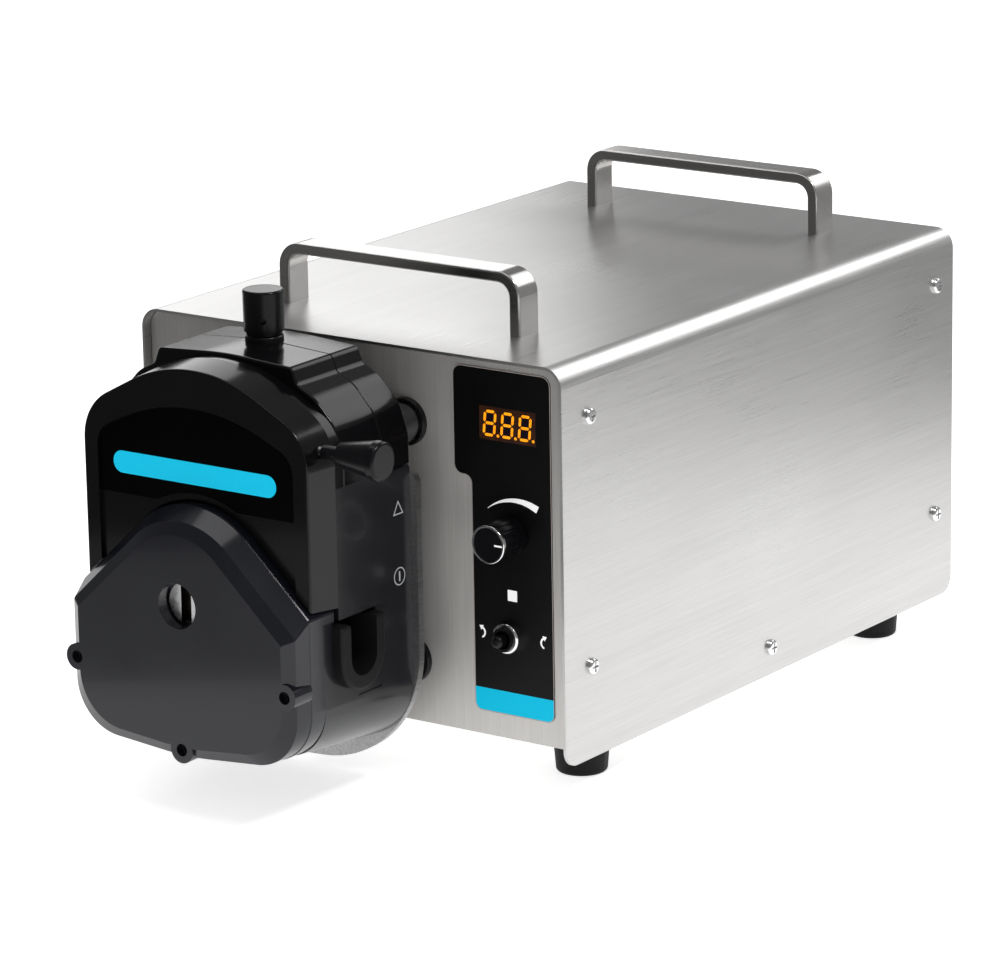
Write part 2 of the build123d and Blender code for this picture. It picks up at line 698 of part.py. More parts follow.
def body_section(bottom, corner_z, corner_r):
    """Outline of the lower head: upright sides, rounded corners and a shallow curved bottom."""
    top = JAW_BOTTOM - SLIDE_GAP
    return symmetric((BODY_HALF, top, 0), (BODY_HALF, corner_z, corner_r), (0, bottom, 120))


def holder_notch(radius, top):
    """YZ outline of a round-bottomed notch at the tube channel."""
    slot = Pos(CHANNEL_Y, (CHANNEL_Z + top) / 2) * Rectangle(2 * radius, top - CHANNEL_Z)
    return slot + Pos(CHANNEL_Y, CHANNEL_Z) * Circle(radius)


def make_pump_body():
    body = between(body_section(-76, -70, 26), CAP_BACK, body_section(-88, -76, 34), BODY_BACK)
    chamber = symmetric((60, 20, 0), (60, -66, 24), (0, -72, 120))
    body -= slab(chamber, CAP_BACK - 1, CASE_FRONT - 45)
    wall = symmetric((BODY_HALF, JAW_TOP - SLIDE_GAP, 3), (BODY_HALF, -20, 0))
    body += slab(wall, SHELL_SPLIT, BODY_BACK)
    body += box((-COLUMN_HALF, COLUMN_HALF), (CASE_FRONT - 50, CASE_FRONT - 36), (40, COLUMN_TOP))
    for x, z in CAP_SCREWS:
        body += rod_y(5.5, CAP_BACK, CAP_BACK + 6, x, z)
        body -= rod_y(1.55, CAP_BACK - 1, CAP_BACK + 10, x, z)
    for side in both_sides(side_slab(holder_notch(HOLDER_R, 30), 50, 80)):
        body -= side & box((-90, 90), (CAP_BACK, SHELL_SPLIT - SLIDE_GAP), (-60, 0))
    body -= rod_y(BEARING_R + RUNNING, CASE_FRONT - 46, SHELL_SPLIT + BEARING_WIDTH)
    body -= rod_y(12, CASE_FRONT - 46, BODY_BACK + 1)
    lift_y = SHELL_SPLIT
    body -= rod_z(7, 60, COLUMN_TOP + 1, 0, lift_y)
    body -= rod_z(5, 39, 61, 0, lift_y)
    groove = box((BODY_HALF - 0.6, BODY_HALF + 1), (CASE_FRONT - 65, CASE_FRONT - 47), (-45.4, -44.2))
    for side in both_sides(groove):
        body -= side
    return in_head(body)


def make_tube_holders():
    """Rubber saddles, one each side, that a tube lies in where it leaves the head."""
    holder = side_slab(holder_notch(HOLDER_R - RUNNING, HOLDER_TOP), HOLDER_INNER, HOLDER_OUTER)
    outer_rim = holder.edges().group_by(Axis.X)[-1]
    holder = fillet(outer_rim, 1.5)
    holder -= side_slab(holder_notch(CHANNEL_R, 10), HOLDER_INNER - 1, HOLDER_OUTER + 1)
    return in_head(group(both_sides(holder)))


def cap_face(grow=0.0, rise=0.0, spread=0.0):
    """Front cap outline, grown all round; rise lifts its crown and slopes, spread widens it."""
    slope = 43.0
    crown = 40.0 + grow + rise
    half = 66.0 + grow + spread
    tan, cos = math.tan(math.radians(slope)), math.cos(math.radians(slope))
    peak = crown / cos
    return symmetric((0, peak, crown), (half, peak - half * tan, 2.5), (half, -69.5 - grow, 26),
                     (0, -75 - grow, 150))


def make_front_cap():
    lip = cap_face(-0.3, CAP_RISE, CAP_SPREAD)
    shoulder = cap_face(0, CAP_RISE, CAP_SPREAD)
    block = slab(shoulder, CAP_SHOULDER + 0.7, ROOF_BACK)
    cap = block + between(lip, CAP_SHOULDER, shoulder, CAP_SHOULDER + 0.7)
    cap += between(cap_face(), CAP_RIDGE, lip, CAP_SHOULDER)
    cap += between(cap_face(-5.5), CAP_FRONT, cap_face(), CAP_RIDGE)
    for ridge in (CAP_RIDGE, CAP_FRONT):
        edges = cap.edges().filter_by_position(Axis.Y, ridge - 0.1, ridge + 0.1)
        cap = fillet(edges, EDGE_R / 2)
    cap -= slab(cap_face(-3.5), CAP_FRONT + 3.5, ROOF_BACK + 1)
    cap -= slab(cap_face(-3.5, CAP_RISE, CAP_SPREAD), CAP_SHOULDER + 1, ROOF_BACK + 1)
    cap -= box((-80, 80), (CAP_BACK, ROOF_BACK + 1), (-90, JAW_BOTTOM - SLIDE_GAP))
    for x, z in CAP_SCREWS:
        cap += rod_y(6.5, CAP_FRONT, CAP_SHOULDER, x, z)
        cap += rod_y(6.5, CAP_SHOULDER, CAP_BACK, x, z) & block
        cap -= rod_y(3.1, CAP_FRONT - 1, CAP_FRONT + 9, x, z)
        cap -= rod_y(1.7, CAP_FRONT, CAP_BACK + 1, x, z)
    cap += rod_y(21, CAP_FRONT + 3, CASE_FRONT - 97)
    cap -= rod_y(11, CAP_FRONT - 1, CASE_FRONT - 96)
    cap -= rod_y(BEARING_R + RUNNING, CASE_FRONT - 104, CASE_FRONT - 96)
    return in_head(cap)


def make_cap_screws():
    screw = socket_screw(2.75, 3.0, 1.5, 22)
    return in_head(group([facing(screw, "-Y", x, CAP_FRONT + 9, z) for x, z in CAP_SCREWS]))


# Pump head: rotor

def orbit(index):
    """Place of a roller's axle, from the rotor axis."""
    turn = math.radians(90 + 120 * index)
    return ORBIT_R * math.cos(turn), ORBIT_R * math.sin(turn)


def disc_spans():
    return [(ROLLER_FRONT - 1.5 - DISC_THICK, ROLLER_FRONT - 1.5),
            (ROLLER_BACK + 1.5, ROLLER_BACK + 1.5 + DISC_THICK)]


def make_rotor_shaft():
    shaft = rod_y(SHAFT_R, SHAFT_FRONT, CASE_FRONT - 24)
    shaft += rod_y(COUPLED_SHAFT_R, CASE_FRONT - 24, CASE_FRONT - 7.5)
    shaft -= box((-3, 3), (SHAFT_FRONT - 1, SHAFT_FRONT + 3.5), (-SHAFT_R, SHAFT_R))
    return in_head(shaft)


def make_rotor_discs():
    discs = []
    for front, back in disc_spans():
        disc = rod_y(DISC_R, front, back) - rod_y(SHAFT_R + RUNNING, front - 1, back + 1)
        for index in range(3):
            x, z = orbit(index)
            disc -= rod_y(AXLE_R + RUNNING, front - 1, back + 1, x, z)
        discs.append(disc)
    return in_head(group(discs))


def make_roller_axles():
    (front, _), (_, back) = disc_spans()
    return in_head(group([rod_y(AXLE_R, front, back, *orbit(index)) for index in range(3)]))


def make_roller(index):
    x, z = orbit(index)
    roller = rod_y(ROLLER_R, ROLLER_FRONT, ROLLER_BACK, x, z)
    roller = chamfer(roller.edges().filter_by(GeomType.CIRCLE), 0.8)
    roller -= rod_y(AXLE_R + RUNNING, ROLLER_FRONT - 1, ROLLER_BACK + 1, x, z)
    return in_head(roller)


def make_shaft_bearings():
    bearings = []
    for front in (CASE_FRONT - 104, SHELL_SPLIT):
        bearing = rod_y(BEARING_R, front, front + BEARING_WIDTH)
        bearing -= rod_y(SHAFT_R + RUNNING, front - 1, front + BEARING_WIDTH + 1)
        for face in (front, front + BEARING_WIDTH):
            ring = rod_y(14.3, face - 0.5, face + 0.5) - rod_y(11.8, face - 1, face + 1)
            bearing -= ring
        bearings.append(bearing)
    return in_head(group(bearings))


def make_shaft_coupling():
    front, back = CASE_FRONT - 16.5, CASE_FRONT + 3
    coupling = rod_y(14, front, back)
    coupling = chamfer(coupling.edges().filter_by(GeomType.CIRCLE), 1.0)
    coupling -= rod_y(7 + RUNNING, front - 1, back + 1)
    for y in (front + 5, back - 5):
        coupling -= rod_z(2, 5, 15, 0, y)
    return in_head(coupling)


# Pump head: the jaw that lifts off the rotor

def make_jaw_block():
    profile = symmetric((JAW_HALF, JAW_TOP, 0), (JAW_HALF, JAW_BOTTOM, 0)) - Circle(TRACK_R)
    inner = math.sqrt(TRACK_R ** 2 - JAW_BOTTOM ** 2)
    for side in (-1, 1):
        corner = profile.vertices().sort_by_distance((side * inner, JAW_BOTTOM))[0]
        profile = fillet(corner, 5)
    block = slab(profile, COVER_BACK, SHELL_SPLIT - SLIDE_GAP)
    relief = COLUMN_HALF + 1
    block -= box((-relief, relief), (CASE_FRONT - 50.5, SHELL_SPLIT), (JAW_BOTTOM, JAW_TOP + 1))
    return in_head(block)


def shoulder_face(inset=0.0):
    """Crown with a flat-topped step, over sloping shoulders."""
    crown = [(0, 113.5, 200), (39.5, 111, 3), (42.5, 103, 4)]
    slopes = [(52, 98.5, 20), (63, 86.5, 16), (JAW_HALF, 72, 12)]
    face = symmetric(*crown, *slopes, (JAW_HALF, JAW_TOP, 0))
    if inset:
        foot = Pos(0, JAW_TOP + 1) * Rectangle(2 * (JAW_HALF - inset), 8)
        face = offset(face, amount=-inset) + foot
    return face


def cover_face(half, top):
    return arch(half, top, JAW_BOTTOM - 6, slope=28, crown_r=80, corner_r=28)


def above(part, z):
    return part & box((-100, 100), (CAP_FRONT - 10, CASE_FRONT), (z, 150))


def screw_seat():
    """Flat seat and hole for the lift screw's bush, at the joint of the two upper shells."""
    return rod_z(9.4, 112.3, 130, 0, SHELL_SPLIT) + rod_z(6.6, 100, 130, 0, SHELL_SPLIT)


def make_upper_front_shell():
    shell = slab(cover_face(JAW_HALF, 111.5), COVER_BACK, SHOULDER_FRONT)
    shoulders = slab(shoulder_face(), SHOULDER_FRONT, SHELL_SPLIT)
    shoulders = fillet(shoulders.faces().sort_by(Axis.Y)[0].edges(), EDGE_R)
    shell += fillet(shoulders.faces().sort_by(Axis.Y)[-1].edges(), EDGE_R / 2)
    shell -= slab(shoulder_face(WALL), SHOULDER_FRONT + WALL, SHELL_SPLIT + 1)
    neck = shoulder_face(WALL) & cover_face(JAW_HALF - WALL, 111.5 - WALL)
    shell -= slab(neck, COVER_BACK + WALL, SHOULDER_FRONT + WALL)
    shell = above(shell, JAW_TOP)
    lug = box((37, 42), (COVER_BACK - 12, COVER_BACK), (LATCH_Z - 6, LATCH_Z + 6))
    shell += lug
    shell -= rod_x(2.6, 36, 43, LATCH_Y, LATCH_Z)
    return in_head(shell - screw_seat())


def make_upper_rear_shell():
    back = BODY_BACK - 0.3
    shell = slab(shoulder_face(), SHELL_SPLIT, back)
    shell = fillet(shell.faces().sort_by(Axis.Y)[0].edges(), EDGE_R / 2)
    shell = fillet(shell.faces().sort_by(Axis.Y)[-1].edges(), EDGE_R)
    shell -= slab(shoulder_face(WALL), SHELL_SPLIT - 1, back - WALL)
    return in_head(above(shell, JAW_TOP) - screw_seat())


def make_arch_cover():
    taper = math.degrees(math.atan2(1.7, COVER_BACK - COVER_RIM))
    cover = slab(cover_face(JAW_HALF, 111.5), COVER_RIM, COVER_BACK, taper=taper)
    cover = fillet(cover.faces().sort_by(Axis.Y)[0].edges(), EDGE_R)
    cover -= slab(cover_face(JAW_HALF - 5, 106.5), RECESS_FLOOR + WALL, COVER_BACK + 1)
    cover -= slab(recess_face(), COVER_RIM - 1, RECESS_FLOOR)
    cover -= slab(cap_face(1.2, CAP_RISE, CAP_SPREAD), COVER_RIM - 1, COVER_BACK + 1)
    cover = above(cover, JAW_BOTTOM)
    cover -= rod_x(2.6, 55, 75, LATCH_Y, LATCH_Z)
    return in_head(cover)


def recess_face():
    return arch(58, 91.5, 0, slope=24, crown_r=100, corner_r=13)


def make_cover_label():
    face = offset(recess_face(), amount=-0.4) & Pos(0, 75) * Rectangle(140, 61)
    face -= cap_face(4.3, CAP_RISE, CAP_SPREAD)
    return in_head(slab(face, RECESS_FLOOR - 0.6, RECESS_FLOOR))


def make_screw_bushing():
    bush = rod_z(9.2, 112.3, 116) + rod_z(6.5, 107, 113)
    bush = fillet(bush.edges().sort_by(Axis.Z)[-1], 0.8)
    bush -= rod_z(LIFT_SCREW_R + RUNNING, 100, 120)
    return in_head(Pos(0, SHELL_SPLIT, 0) * bush)


def make_lift_knob():
    knob = rod_z(8.6, 116.3, 119) + Pos(0, 0, 128) * Cone(9.6, 10.0, 20)
    knob = fillet(knob.edges().sort_by(Axis.Z)[-1], EDGE_R)
    knob -= rod_z(LIFT_SCREW_R + RUNNING, 116, 132)
    knob -= Pos(0, 0, 124) * Rot(0, 0, -55) * rod_x(1.6, 7, 12)
    return in_head(Pos(0, SHELL_SPLIT, 0) * knob)


def make_lead_screw():
    return in_head(rod_z(LIFT_SCREW_R, 50, 131, 0, SHELL_SPLIT))


def make_lift_nut():
    nut = rod_z(6.95, 60, COLUMN_TOP) - rod_z(LIFT_SCREW_R + RUNNING, 59, COLUMN_TOP + 1)
    return in_head(Pos(0, SHELL_SPLIT, 0) * nut)


def make_latch_knob():
    neck, flare, end = 67.6, 76.0, 101.5
    profile = [(neck, 0), (neck, 3.5), (flare, 3.5), (flare + 1.5, 6.0), (end - 4, 9.6), (end, 9.2)]
    knob = turned([*profile, (end, 0)])
    knob = fillet(knob.edges().sort_by(Axis.X)[-1], 1.6)
    knob -= rod_x(2.5 + RUNNING, neck - 1, flare + 4)
    return in_head(Pos(0, LATCH_Y, LATCH_Z) * knob)


def make_latch_pin():
    pin = rod_x(2.5, 38, 79) + rod_x(4.4, 46.5, 48)
    return in_head(Pos(0, LATCH_Y, LATCH_Z) * pin)


def make_latch_spring():
    wire, turns, start, end = 0.45, 5, 48.6, 57.4
    path = Helix(pitch=(end - start) / turns, height=end - start, radius=3.5)
    section = Plane(path @ 0, z_dir=path % 0) * Circle(wire)
    coil = sweep(section, path=path, is_frenet=True)
    return in_head(Pos(start, LATCH_Y, LATCH_Z) * Rot(0, 90, 0) * coil)


NODES = {
    "outer_cover": make_outer_cover,
    "front_panel": make_front_panel,
    "rear_panel": make_rear_panel,
    "base_panel": make_base_panel,
    "cover_screws": make_cover_screws,
    "handles": make_handles,
    "handle_screws": make_handle_screws,
    "rubber_feet": make_rubber_feet,
    "foot_fasteners": make_foot_fasteners,
    "control_overlay": make_control_overlay,
    "display_window": make_display_window,
    "display_module": make_display_module,
    "speed_knob": make_speed_knob,
    "speed_knob_ring": make_speed_knob_ring,
    "potentiometer": make_potentiometer,
    "potentiometer_shaft": make_potentiometer_shaft,
    "toggle_body": make_toggle_body,
    "toggle_nut": make_toggle_nut,
    "toggle_lever": make_toggle_lever,
    "motor_housing": make_motor_housing,
    "motor_rear_cap": make_motor_rear_cap,
    "motor_shaft": make_motor_shaft,
    "m5_screws": make_m5_screws,
    "power_supply": make_power_supply,
    "driver_board": make_driver_board,
    "power_inlet": make_power_inlet,
    "power_switch_body": make_power_switch_body,
    "power_switch_rocker": make_power_switch_rocker,
    "signal_connector": make_signal_connector,
    "fan_frame": make_fan_frame,
    "fan_rotor": make_fan_rotor,
    "fan_guard": make_fan_guard,
    "rear_screws": make_rear_screws,
    "standoff_posts": make_standoff_posts,
    "post_collars": make_post_collars,
    "mount_plate": make_mount_plate,
    "pump_body": make_pump_body,
    "tube_holders": make_tube_holders,
    "front_cap": make_front_cap,
    "cap_screws": make_cap_screws,
    "rotor_shaft": make_rotor_shaft,
    "rotor_discs": make_rotor_discs,
    "roller_axles": make_roller_axles,
    "shaft_bearings": make_shaft_bearings,
    "shaft_coupling": make_shaft_coupling,
    "jaw_block": make_jaw_block,
    "upper_front_shell": make_upper_front_shell,
    "upper_rear_shell": make_upper_rear_shell,
    "arch_cover": make_arch_cover,
    "cover_label": make_cover_label,
    "screw_bushing": make_screw_bushing,
    "lift_knob": make_lift_knob,
    "lead_screw": make_lead_screw,
    "lift_nut": make_lift_nut,
    "latch_knob": make_latch_knob,
    "latch_pin": make_latch_pin,
    "latch_spring": make_latch_spring,
}


def main():
    os.makedirs("parts", exist_ok=True)
    parts = {name: make() for name, make in NODES.items()}
    for index in range(3):
        parts[f"roller_{index + 1}"] = make_roller(index)
    for name, part in parts.items():
        export_step(part, f"parts/{name}.step")


main()
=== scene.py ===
import json
import math

import bmesh
import bpy
from mathutils import Matrix, Vector


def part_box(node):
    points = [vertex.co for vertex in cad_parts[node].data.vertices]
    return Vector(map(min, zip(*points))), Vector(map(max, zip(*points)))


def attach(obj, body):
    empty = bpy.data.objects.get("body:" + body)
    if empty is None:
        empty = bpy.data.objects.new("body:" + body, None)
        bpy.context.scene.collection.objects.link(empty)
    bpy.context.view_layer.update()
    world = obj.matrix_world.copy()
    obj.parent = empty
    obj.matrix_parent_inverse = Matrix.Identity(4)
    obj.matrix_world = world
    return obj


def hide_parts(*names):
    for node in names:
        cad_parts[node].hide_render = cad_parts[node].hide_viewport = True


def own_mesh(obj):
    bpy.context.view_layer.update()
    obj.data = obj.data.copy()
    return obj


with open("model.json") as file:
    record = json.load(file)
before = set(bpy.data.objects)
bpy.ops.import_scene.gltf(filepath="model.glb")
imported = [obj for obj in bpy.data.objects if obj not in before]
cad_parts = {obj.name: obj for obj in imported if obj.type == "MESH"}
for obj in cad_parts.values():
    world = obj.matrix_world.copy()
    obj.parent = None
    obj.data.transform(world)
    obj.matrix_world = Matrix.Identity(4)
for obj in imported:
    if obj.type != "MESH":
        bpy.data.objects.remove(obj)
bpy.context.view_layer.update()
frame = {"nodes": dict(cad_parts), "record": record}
nodes = frame["nodes"]

MM = 0.001


# Node graphs

class Graph:
    """A material's node tree, with short ways to add and join nodes."""

    def __init__(self, name, material=None):
        self.material = material or bpy.data.materials.new(name)
        self.material.use_nodes = True
        self.tree = self.material.node_tree
        self.shader = self.tree.nodes["Principled BSDF"]
        self.place = self.tree.nodes.new("ShaderNodeTexCoord").outputs["Object"]

    def add(self, kind, inputs=None, **settings):
        node = self.tree.nodes.new(kind)
        for key, value in settings.items():
            setattr(node, key, value)
        for key, value in (inputs or {}).items():
            self.put(node.inputs[key], value)
        return node

    def put(self, socket, value):
        if isinstance(value, bpy.types.NodeSocket):
            self.tree.links.new(value, socket)
        else:
            socket.default_value = value

    def stretched(self, scale):
        """Object coordinates, in metres, multiplied by a scale for each axis."""
        node = self.add("ShaderNodeMapping", {"Vector": self.place, "Scale": scale})
        return node.outputs["Vector"]

    def noise(self, vector, scale, detail=3.0, roughness=0.55):
        inputs = {"Vector": vector, "Scale": scale, "Detail": detail, "Roughness": roughness}
        return self.add("ShaderNodeTexNoise", inputs).outputs["Fac"]

    def spread(self, value, low, high, from_low=0.3, from_high=0.7):
        """Maps a factor's middle range to low..high."""
        inputs = {"Value": value, "From Min": from_low, "From Max": from_high,
                  "To Min": low, "To Max": high}
        return self.add("ShaderNodeMapRange", inputs).outputs["Result"]

    def calc(self, operation, first, second=0.0):
        """One operation on one or two numbers."""
        return self.add("ShaderNodeMath", {0: first, 1: second}, operation=operation).outputs[0]

    def blend(self, factor, first, second, **settings):
        node = self.add("ShaderNodeMix", {"Factor": factor}, data_type="RGBA", **settings)
        for socket, colour in zip([s for s in node.inputs if s.type == "RGBA"], (first, second)):
            self.put(socket, colour)
        return [s for s in node.outputs if s.type == "RGBA"][0]

    def shade(self, colour, factor):
        """The colour multiplied by a grey factor."""
        return self.blend(1.0, colour, factor, blend_type="MULTIPLY")

    def bump(self, height, distance, strength):
        inputs = {"Height": height, "Distance": distance, "Strength": strength}
        return self.add("ShaderNodeBump", inputs).outputs["Normal"]

    def finish(self, **sockets):
        """Sets the shader's inputs, named with underscores for spaces, and gives the material."""
        for key, value in sockets.items():
            self.put(self.shader.inputs[key.replace("_", " ")], value)
        return self.material


def rgb(red, green, blue):
    return (red, green, blue, 1.0)


# Materials

# Scales that draw a noise out into lines along one axis
SQUEEZE = 0.012
ALONG_X = (SQUEEZE, 1.0, 1.0)
ALONG_Y = (1.0, SQUEEZE, 1.0)
ALONG_Z = (1.0, 1.0, SQUEEZE)


def brushed_metal(name, colour, grain, around, roughness=0.3, contrast=0.08, scale=1500.0,
                  metallic=1.0):
    """Metal with fine straight brush lines along the axis that the grain squeezes.

    The sheen spreads across the lines, which is the way round the axis named by around.
    """
    g = Graph(name)
    across = g.add("ShaderNodeTangent", direction_type="RADIAL", axis=around).outputs["Tangent"]
    fine = g.noise(g.stretched(grain), scale, detail=4.0, roughness=0.7)
    broad = g.noise(g.stretched(tuple(0.25 * s for s in grain)), scale * 0.35, detail=2.0)
    cloud = g.noise(g.place, 9.0, detail=2.0)
    tone = g.spread(fine, 1.0 - contrast, 1.0 + contrast)
    shade = g.shade(g.shade(rgb(*colour), tone), g.spread(broad, 0.98, 1.02))
    wear = g.calc("ADD", g.spread(fine, -0.03, 0.03), g.spread(cloud, -0.02, 0.03))
    rough = g.calc("ADD", wear, roughness)
    normal = g.bump(fine, 0.00002, 0.22)
    return g.finish(Base_Color=shade, Metallic=metallic, Roughness=rough, Normal=normal,
                    Anisotropic=0.75, Tangent=across)


def polished_metal(name, colour, roughness=0.14):
    g = Graph(name)
    smear = g.noise(g.place, 420.0, detail=4.0)
    scratch = g.noise(g.stretched((1.0, 1.0, 0.06)), 2600.0, detail=3.0)
    return g.finish(Base_Color=g.shade(rgb(*colour), g.spread(smear, 0.9, 1.05)), Metallic=1.0,
                    Roughness=g.spread(smear, roughness * 0.7, roughness * 1.5),
                    Normal=g.bump(scratch, 0.00001, 0.25))


def slotted_shaft(name, colour, roughness):
    """Ground steel, with painted shade inside the slot across the shaft's end: the slot is coloured dark
    as if in shadow.
    """
    slot_half_width, slot_start, slot_end = 3.05 * MM, 0.1 * MM, 3.6 * MM
    material = polished_metal(name, colour, roughness)
    g = Graph(name, material)
    place = g.add("ShaderNodeSeparateXYZ", {"Vector": g.place}).outputs
    low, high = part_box("rotor_shaft")
    aside = g.calc("ABSOLUTE", g.calc("SUBTRACT", place["X"], (low.x + high.x) / 2))
    within = g.calc("LESS_THAN", aside, slot_half_width)
    behind = g.calc("GREATER_THAN", place["Y"], low.y + slot_start)
    ahead = g.calc("LESS_THAN", place["Y"], low.y + slot_end)
    slot = g.calc("MULTIPLY", within, g.calc("MULTIPLY", behind, ahead))
    unshaded_steel = g.shader.inputs["Base Color"].links[0].from_socket
    # Painted shade: the steel inside the slot is blended to a dark brown-grey, standing in for the
    # shadow in its recess.
    return g.finish(Base_Color=g.blend(slot, unshaded_steel, rgb(0.035, 0.028, 0.022)))


def moulded(name, colour, roughness, grain=0.2, coat=0.0, grain_scale=2400.0, specular=0.35):
    """Plastic or paint with a fine grain, faint clouding and lighter rubbed patches."""
    g = Graph(name)
    pores = g.noise(g.place, grain_scale, detail=3.0)
    cloud = g.noise(g.place, 28.0, detail=4.0)
    dust = g.noise(g.place, 700.0, detail=5.0, roughness=0.7)
    shade = g.shade(rgb(*colour), g.spread(cloud, 0.86, 1.16))
    shade = g.blend(g.spread(dust, 0.0, 0.006, 0.55, 0.8), shade, rgb(0.3, 0.3, 0.32))
    rough = g.calc("ADD", g.spread(cloud, roughness * 0.86, roughness * 1.14),
                   g.spread(dust, -0.01, 0.03))
    return g.finish(Base_Color=shade, Roughness=rough, Specular_IOR_Level=specular,
                    Coat_Weight=coat, Coat_Roughness=0.05, Normal=g.bump(pores, 0.00002, grain))


def rubber(name):
    g = Graph(name)
    pores = g.noise(g.place, 1800.0, detail=4.0)
    dust = g.noise(g.place, 160.0, detail=5.0)
    shade = g.blend(g.spread(dust, 0.0, 0.04), rgb(0.003, 0.003, 0.0035), rgb(0.06, 0.058, 0.055))
    return g.finish(Base_Color=shade, Roughness=g.spread(pores, 0.5, 0.68), Specular_IOR_Level=0.2,
                    Normal=g.bump(pores, 0.00005, 0.4))


def printed(name, colour, roughness=0.4, glow=0.0):
    """Screen-printed ink on the film; glow gives some inks a painted glow of their own colour."""
    g = Graph(name)
    dots = g.noise(g.place, 3200.0, detail=2.0)
    ink = g.shade(rgb(*colour), g.spread(dots, 0.95, 1.03))
    # Painted glow: the ink emits its own colour at the strength glow gives, though it is no lamp.
    return g.finish(Base_Color=ink, Roughness=g.spread(dots, roughness - 0.05, roughness + 0.05),
                    Specular_IOR_Level=0.1, Emission_Color=ink, Emission_Strength=glow,
                    Normal=g.bump(dots, 0.00001, 0.2))


def lit_segment():
    """Amber segment whose glow varies a little from place to place."""
    g = Graph("lit_segment")
    glow = g.noise(g.place, 900.0, detail=1.0)
    colour = g.blend(g.spread(glow, 0.0, 1.0), rgb(0.95, 0.24, 0.0), rgb(1.0, 0.42, 0.01))
    return g.finish(Base_Color=rgb(0.3, 0.09, 0.0), Roughness=0.3, Emission_Color=colour,
                    Emission_Strength=1.15)


def tinted_window():
    g = Graph("tinted_window")
    cloud = g.noise(g.place, 60.0, detail=2.0)
    shade = g.blend(g.spread(cloud, 0.0, 1.0), rgb(0.028, 0.008, 0.003), rgb(0.055, 0.018, 0.007))
    return g.finish(Base_Color=shade, Roughness=g.spread(cloud, 0.1, 0.16), Coat_Weight=0.5,
                    Coat_Roughness=0.04)


def circuit_board():
    g = Graph("circuit_board")
    tracks = g.add("ShaderNodeTexVoronoi", {"Vector": g.place, "Scale": 160.0}, distance="MANHATTAN")
    edge = g.spread(tracks.outputs["Distance"], 0.0, 1.0, 0.45, 0.5)
    shade = g.blend(edge, rgb(0.012, 0.1, 0.035), rgb(0.03, 0.2, 0.08))
    return g.finish(Base_Color=shade, Roughness=g.spread(tracks.outputs["Distance"], 0.3, 0.5))


STEEL = (0.54, 0.535, 0.53)

materials = {
    "case_steel": brushed_metal("case_steel", STEEL, ALONG_Y, "Y"),
    "panel_steel": brushed_metal("panel_steel", (0.58, 0.565, 0.545), ALONG_Z, "Z", roughness=0.5,
                                 metallic=0.82),
    "handle_steel": brushed_metal("handle_steel", (0.46, 0.45, 0.44), ALONG_X, "X", roughness=0.2,
                                  contrast=0.05),
    "screw_steel": polished_metal("screw_steel", (0.72, 0.72, 0.72)),
    "socket_screw_steel": polished_metal("socket_screw_steel", (0.4, 0.4, 0.41), 0.25),
    "rubber": rubber("rubber"),
    "overlay_film": moulded("overlay_film", (0.003, 0.003, 0.0035), 0.4, grain=0.8, grain_scale=1500.0,
                            specular=0.14),
    "window_tint": tinted_window(),
    "display_body": moulded("display_body", (0.03, 0.03, 0.03), 0.5),
    "knob_plastic": moulded("knob_plastic", (0.004, 0.004, 0.005), 0.22, grain=0.2, specular=0.18),
    "bright_trim": polished_metal("bright_trim", (0.8, 0.8, 0.8), 0.1),
    "control_metal": polished_metal("control_metal", (0.5, 0.5, 0.5), 0.3),
    "black_plastic": moulded("black_plastic", (0.004, 0.004, 0.0045), 0.26, grain=0.12, specular=0.25),
    "rocker_plastic": moulded("rocker_plastic", (0.014, 0.014, 0.015), 0.22, coat=0.3),
    "motor_paint": moulded("motor_paint", (0.018, 0.018, 0.02), 0.45, grain=0.6),
    "supply_metal": brushed_metal("supply_metal", (0.6, 0.61, 0.62), ALONG_Y, "Y", roughness=0.4),
    "circuit_board": circuit_board(),
    "connector_metal": polished_metal("connector_metal", (0.56, 0.54, 0.5), 0.28),
    "guard_wire": polished_metal("guard_wire", (0.74, 0.74, 0.74), 0.16),
    "post_steel": polished_metal("post_steel", (0.12, 0.12, 0.125), 0.2),
    "plate_alloy": brushed_metal("plate_alloy", (0.45, 0.45, 0.455), ALONG_Y, "Y", roughness=0.42,
                                 contrast=0.25, scale=900.0),
    "head_satin": moulded("head_satin", (0.012, 0.012, 0.014), 0.22, grain=0.06, coat=0.1),
    "cap_satin": moulded("cap_satin", (0.007, 0.0075, 0.011), 0.16, grain=0.05, coat=0.1),
    "head_gloss": moulded("head_gloss", (0.003, 0.003, 0.0035), 0.14, grain=0.06, coat=0.05,
                          specular=0.2),
    "label_film": moulded("label_film", (0.0005, 0.0005, 0.0005), 0.3, grain=0.1, specular=0.04),
    "shaft_steel": polished_metal("shaft_steel", (0.7, 0.7, 0.7), 0.22),
    "slotted_shaft": slotted_shaft("slotted_shaft", (0.85, 0.85, 0.85), 0.3),
    "brass": polished_metal("brass", (0.72, 0.52, 0.22), 0.24),
    "pin_steel": polished_metal("pin_steel", (0.55, 0.55, 0.56), 0.22),
}
# The white and cyan inks carry a painted glow.
white_ink = printed("white_ink", (0.9, 0.9, 0.9), glow=0.35)
cyan_ink = printed("cyan_ink", (0.0, 0.5, 0.74), 0.35, glow=0.2)
edge_ink = printed("edge_ink", (0.45, 0.4, 0.38), 0.4)
amber_light = lit_segment()
dark_cell = printed("dark_cell", (0.01, 0.006, 0.012), 0.3)
grey_ink = printed("grey_ink", (0.42, 0.43, 0.45), 0.4)


